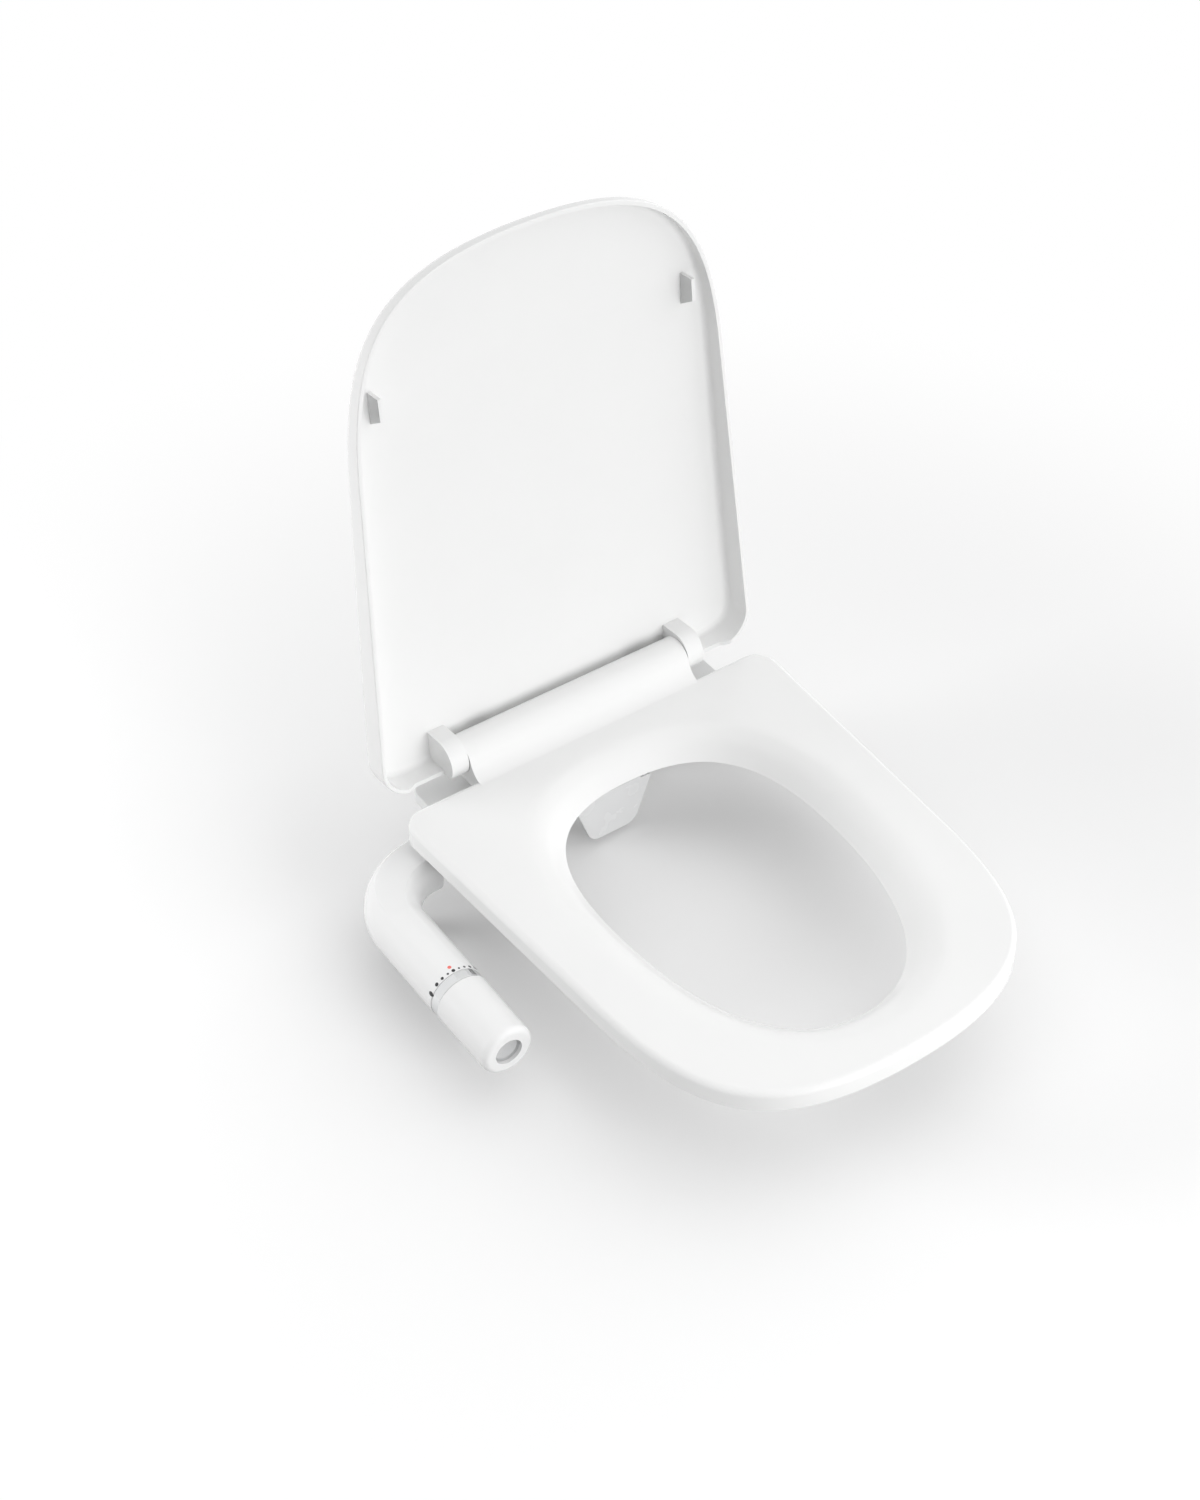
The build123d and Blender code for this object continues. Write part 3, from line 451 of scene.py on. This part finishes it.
def repeat_tree(name, finish, inputs):
    """A tree that sets a shape on every point, makes it real and paints it."""
    tree = bpy.data.node_groups.new(name, "GeometryNodeTree")
    interface = tree.interface
    interface.new_socket("Geometry", in_out="INPUT", socket_type="NodeSocketGeometry")
    sockets = {
        label: interface.new_socket(label, in_out="INPUT", socket_type=kind).identifier
        for label, kind in inputs.items()
    }
    interface.new_socket("Geometry", in_out="OUTPUT", socket_type="NodeSocketGeometry")
    start = tree.nodes.new("NodeGroupInput")
    place = tree.nodes.new("GeometryNodeInstanceOnPoints")
    real = tree.nodes.new("GeometryNodeRealizeInstances")
    paint = add_node(tree, "GeometryNodeSetMaterial", Material=finish)
    end = tree.nodes.new("NodeGroupOutput")
    tree.links.new(start.outputs["Geometry"], place.inputs["Points"])
    tree.links.new(place.outputs["Instances"], real.inputs["Geometry"])
    tree.links.new(real.outputs["Geometry"], paint.inputs["Geometry"])
    tree.links.new(paint.outputs["Geometry"], end.inputs["Geometry"])
    return tree, start, place, sockets


def plain_result(name, points_mesh, tree, sockets, sizes):
    """What a tree makes of the points, as an object with a plain mesh."""
    points = link_object(name + "_points", points_mesh)
    modifier = points.modifiers.new("repeat", "NODES")
    modifier.node_group = tree
    for label, size in sizes.items():
        modifier[sockets[label]] = size
    graph = bpy.context.evaluated_depsgraph_get()
    made = bpy.data.meshes.new_from_object(points.evaluated_get(graph))
    bpy.data.objects.remove(points)
    return link_object(name, made)


def mark_tree(name, finish):
    """Flat round marks on points that carry a size and a turn."""
    inputs = {"Dot Sides": "NodeSocketInt", "Ink Thickness": "NodeSocketFloat"}
    tree, start, place, sockets = repeat_tree(name, finish, inputs)
    dot = add_node(tree, "GeometryNodeMeshCylinder", Radius=1.0)
    tree.links.new(start.outputs["Dot Sides"], dot.inputs["Vertices"])
    tree.links.new(start.outputs["Ink Thickness"], dot.inputs["Depth"])
    tree.links.new(dot.outputs["Mesh"], place.inputs["Instance"])
    for attribute, target in (("dot_size", "Scale"), ("dot_turn", "Rotation")):
        carried = tree.nodes.new("GeometryNodeInputNamedAttribute")
        carried.data_type = "FLOAT_VECTOR"
        carried.inputs["Name"].default_value = attribute
        tree.links.new(carried.outputs["Attribute"], place.inputs[target])
    return tree, sockets


def round_marks(name, finish, rows, body):
    """Flat marks on a body. A row holds a place, turns about X and Y, and sizes across and along."""
    mesh = bpy.data.meshes.new(name + "_points")
    mesh.from_pydata([place for place, *_ in rows], [], [])
    size = mesh.attributes.new("dot_size", "FLOAT_VECTOR", "POINT")
    turn = mesh.attributes.new("dot_turn", "FLOAT_VECTOR", "POINT")
    for index, (_, tilt, roll, across, along) in enumerate(rows):
        size.data[index].vector = (across * MM, along * MM, 1)
        turn.data[index].vector = (radians(tilt), radians(roll), 0)
    tree, sockets = mark_tree(name, finish)
    sizes = {"Dot Sides": ROUND_SIDES, "Ink Thickness": INK_THICKNESS * MM}
    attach(plain_result(name, mesh, tree, sockets, sizes), body)


def on_arm(turn, y):
    """A point on the arm's round front stretch, turned from its top towards -X."""
    angle = radians(turn)
    return Vector((ARM_X - ARM_RADIUS * sin(angle), y, ARM_Z + ARM_RADIUS * cos(angle))) * MM


def make_dial_marks():
    """The dots round the arm's front end, the lowest one drawn long, and the red mark behind them."""
    dots = []
    for turn, size in DOTS:
        along = size * (LONG_DOT_STRETCH if abs(turn) > LONG_DOT_TURN else 1.0)
        dots.append((on_arm(turn, DOT_RING_Y), 0, -turn, size, along))
    round_marks("dial_dots", print_ink("dial_ink", DOT_INK), dots, "base")
    mark = (on_arm(MARK_TURN, MARK_Y), 0, -MARK_TURN, MARK_SIZE, MARK_SIZE)
    round_marks("dial_mark", print_ink("mark_ink", MARK_INK), [mark], "base")


def make_spray_hole_shade(finish):
    """Black discs on the front of each nozzle, near its tip: painted shade where the spray holes are.
    """
    tilt = radians(NOZZLE_TILT)
    ahead = Vector((0, -cos(tilt), sin(tilt))) * NOZZLE_RADIUS
    for name, side in NOZZLE_SIDE.items():
        tip, along = nozzle_line(side)
        places = [(tip + along * run + ahead) * MM for run in HOLE_RUNS]
        rows = [(place, 90 - NOZZLE_TILT, 0, HOLE_SIZE, HOLE_SIZE) for place in places]
        round_marks(name + "_spray_hole_shade", finish, rows, name + "_nozzle_body")


def thread_tree(name, finish):
    """A helical ridge at each point."""
    labels = ("Core Radius", "Thread Length", "Turns", "Ridge")
    inputs = {label: "NodeSocketFloat" for label in labels}
    tree, start, place, sockets = repeat_tree(name, finish, inputs)
    helix = add_node(tree, "GeometryNodeCurveSpiral", Resolution=HELIX_STEPS)
    profile = add_node(tree, "GeometryNodeCurvePrimitiveCircle", Resolution=RIDGE_SIDES)
    ridge = add_node(tree, "GeometryNodeCurveToMesh", Fill_Caps=True)
    tree.links.new(start.outputs["Core Radius"], helix.inputs["Start Radius"])
    tree.links.new(start.outputs["Core Radius"], helix.inputs["End Radius"])
    tree.links.new(start.outputs["Thread Length"], helix.inputs["Height"])
    tree.links.new(start.outputs["Turns"], helix.inputs["Rotations"])
    tree.links.new(start.outputs["Ridge"], profile.inputs["Radius"])
    tree.links.new(helix.outputs["Curve"], ridge.inputs["Curve"])
    tree.links.new(profile.outputs["Curve"], ridge.inputs["Profile Curve"])
    tree.links.new(ridge.outputs["Mesh"], place.inputs["Instance"])
    return tree, sockets


def cut_threads(name, finish, feet, core, length, pitch, ridge):
    """A screw thread that rises from each foot, on the base."""
    mesh = bpy.data.meshes.new(name + "_points")
    mesh.from_pydata(feet, [], [])
    tree, sockets = thread_tree(name, finish)
    sizes = {
        "Core Radius": core * MM,
        "Thread Length": length * MM,
        "Turns": length / pitch,
        "Ridge": ridge * MM,
    }
    thread = plain_result(name, mesh, tree, sockets, sizes)
    thread.data.shade_smooth()
    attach(thread, "base")


def make_threads(finish):
    """Screw threads on the two studs and on the inlet."""
    studs = [Vector((side * STUD_X, 0, STUD_END + STUD_RIDGE)) * MM for side in SIDES]
    cut_threads("stud_threads", finish, studs, STUD_CORE, STUD_THREAD, STUD_PITCH, STUD_RIDGE)
    low, high = (Vector(corner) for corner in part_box("inlet_connector"))
    inlet = Vector(((low.x + high.x) / 2, (low.y + high.y) / 2, low.z + INLET_RIDGE * MM))
    cut_threads("inlet_thread", finish, [inlet], INLET_CORE, INLET_THREAD, INLET_PITCH, INLET_RIDGE)


def seen_or_mirrored(tree):
    """1 for rays from the camera, from reflections and through clear parts, else 0."""
    path = tree.nodes.new("ShaderNodeLightPath")
    value = path.outputs["Is Camera Ray"]
    for other in ("Is Glossy Ray", "Is Transmission Ray"):
        value = combine(tree, "MAXIMUM", value, path.outputs[other])
    return value


def grey(tone):
    """An opaque neutral colour."""
    return (tone, tone, tone, 1)


def seen_ground(tree):
    """The floor as it is seen: it keeps the shadow and fades to white away from the object."""
    seen = add_node(tree, "ShaderNodeBsdfDiffuse", Color=grey(FLOOR_SEEN_TONE))
    white = add_node(tree, "ShaderNodeEmission", Color=grey(1), Strength=WHITE)
    coords = tree.nodes.new("ShaderNodeTexCoord")
    away = tree.nodes.new("ShaderNodeVectorMath")
    away.operation = "DISTANCE"
    away.inputs[1].default_value = [part * MM for part in FADE_MIDDLE]
    fade = tree.nodes.new("ShaderNodeMapRange")
    fade.interpolation_type = "SMOOTHSTEP"
    fade.inputs["From Min"].default_value = FADE_START * MM
    fade.inputs["From Max"].default_value = FADE_END * MM
    ground = tree.nodes.new("ShaderNodeMixShader")
    tree.links.new(coords.outputs["Object"], away.inputs[0])
    tree.links.new(away.outputs["Value"], fade.inputs["Value"])
    tree.links.new(fade.outputs["Result"], ground.inputs["Fac"])
    tree.links.new(seen.outputs["BSDF"], ground.inputs[1])
    tree.links.new(white.outputs["Emission"], ground.inputs[2])
    return ground.outputs["Shader"]


def make_floor():
    """Pale ground that returns a plain level of light, whatever tone of it is seen."""
    material, tree, shader = new_material("studio_white")
    shader.inputs["Base Color"].default_value = grey(FLOOR_TONE)
    shader.inputs["Roughness"].default_value = FLOOR_ROUGH
    shown = tree.nodes.new("ShaderNodeMixShader")
    tree.links.new(seen_or_mirrored(tree), shown.inputs["Fac"])
    tree.links.new(shader.outputs["BSDF"], shown.inputs[1])
    tree.links.new(seen_ground(tree), shown.inputs[2])
    tree.links.new(shown.outputs["Shader"], tree.get_output_node("ALL").inputs["Surface"])
    half = FLOOR_SIZE / 2 * MM
    level = cad_box[0][2] - FLOOR_GAP * MM
    corners = [(-half, -half, level), (half, -half, level), (half, half, level), (-half, half, level)]
    mesh = bpy.data.meshes.new("floor")
    mesh.from_pydata(corners, [], [(0, 1, 2, 3)])
    mesh.materials.append(material)
    link_object("floor", mesh)


def sky_lobe(tree, direction, level):
    """Light that falls off with the angle from a direction."""
    coords = tree.nodes.new("ShaderNodeTexCoord")
    facing = tree.nodes.new("ShaderNodeVectorMath")
    facing.operation = "DOT_PRODUCT"
    facing.inputs[1].default_value = direction
    tree.links.new(coords.outputs["Generated"], facing.inputs[0])
    lit = combine(tree, "MAXIMUM", facing.outputs["Value"], 0.0)
    return combine(tree, "MULTIPLY", lit, level)


def make_world():
    """A soft sky that lights the object, shown as plain white."""
    world = bpy.data.worlds.new("studio")
    bpy.context.scene.world = world
    world.use_nodes = True
    tree = world.node_tree
    tree.nodes.clear()
    right = sky_lobe(tree, (1, 0, 0), SKY_RIGHT)
    top = sky_lobe(tree, (0, 0, 1), SKY_TOP)
    soft = add_node(tree, "ShaderNodeBackground", Color=grey(1))
    tree.links.new(combine(tree, "ADD", right, top), soft.inputs["Strength"])
    white = add_node(tree, "ShaderNodeBackground", Color=grey(1), Strength=WHITE)
    shown = tree.nodes.new("ShaderNodeMixShader")
    output = tree.nodes.new("ShaderNodeOutputWorld")
    tree.links.new(seen_or_mirrored(tree), shown.inputs["Fac"])
    tree.links.new(soft.outputs["Background"], shown.inputs[1])
    tree.links.new(white.outputs["Background"], shown.inputs[2])
    tree.links.new(shown.outputs["Shader"], output.inputs["Surface"])


def area_light(name, place, aim, size, power):
    """A softbox that stays out of reflections, so that no lamp burns out in the gloss."""
    light = bpy.data.lights.new(name, "AREA")
    light.shape = "DISK"
    light.size = size
    light.energy = power
    lamp = link_object(name, light)
    lamp.visible_glossy = False
    lamp.location = place
    lamp.rotation_euler = (Vector(aim) - Vector(place)).to_track_quat("-Z", "Y").to_euler()


def make_lights():
    """The two softboxes."""
    area_light("front_softbox", FRONT_PLACE, FRONT_AIM, FRONT_SIZE, FRONT_POWER)
    area_light("left_fill", FILL_PLACE, FILL_AIM, FILL_SIZE, FILL_POWER)


def make_camera():
    """The view from above, on the seat's left front."""
    azimuth, elevation = radians(VIEW_AZIMUTH), radians(VIEW_ELEVATION)
    level = cos(elevation)
    back = Vector((sin(azimuth) * level, -cos(azimuth) * level, sin(elevation)))
    lens = bpy.data.cameras.new("view")
    lens.lens = FOCAL_LENGTH
    lens.sensor_width = SENSOR
    lens.sensor_fit = "AUTO"
    lens.clip_end = VIEW_END * MM
    camera = link_object("view", lens)
    camera.location = (Vector(VIEW_TARGET) + back * VIEW_DISTANCE) * MM
    camera.rotation_euler = (-back).to_track_quat("-Z", "Y").to_euler()
    bpy.context.scene.camera = camera


bpy.context.scene.view_settings.view_transform = "Standard"
finishes = make_finishes()
dress_nodes(finishes)
make_dial_marks()
make_spray_hole_shade(finishes["seal_black"])
make_threads(finishes["steel"])
make_floor()
make_world()
make_lights()
make_camera()
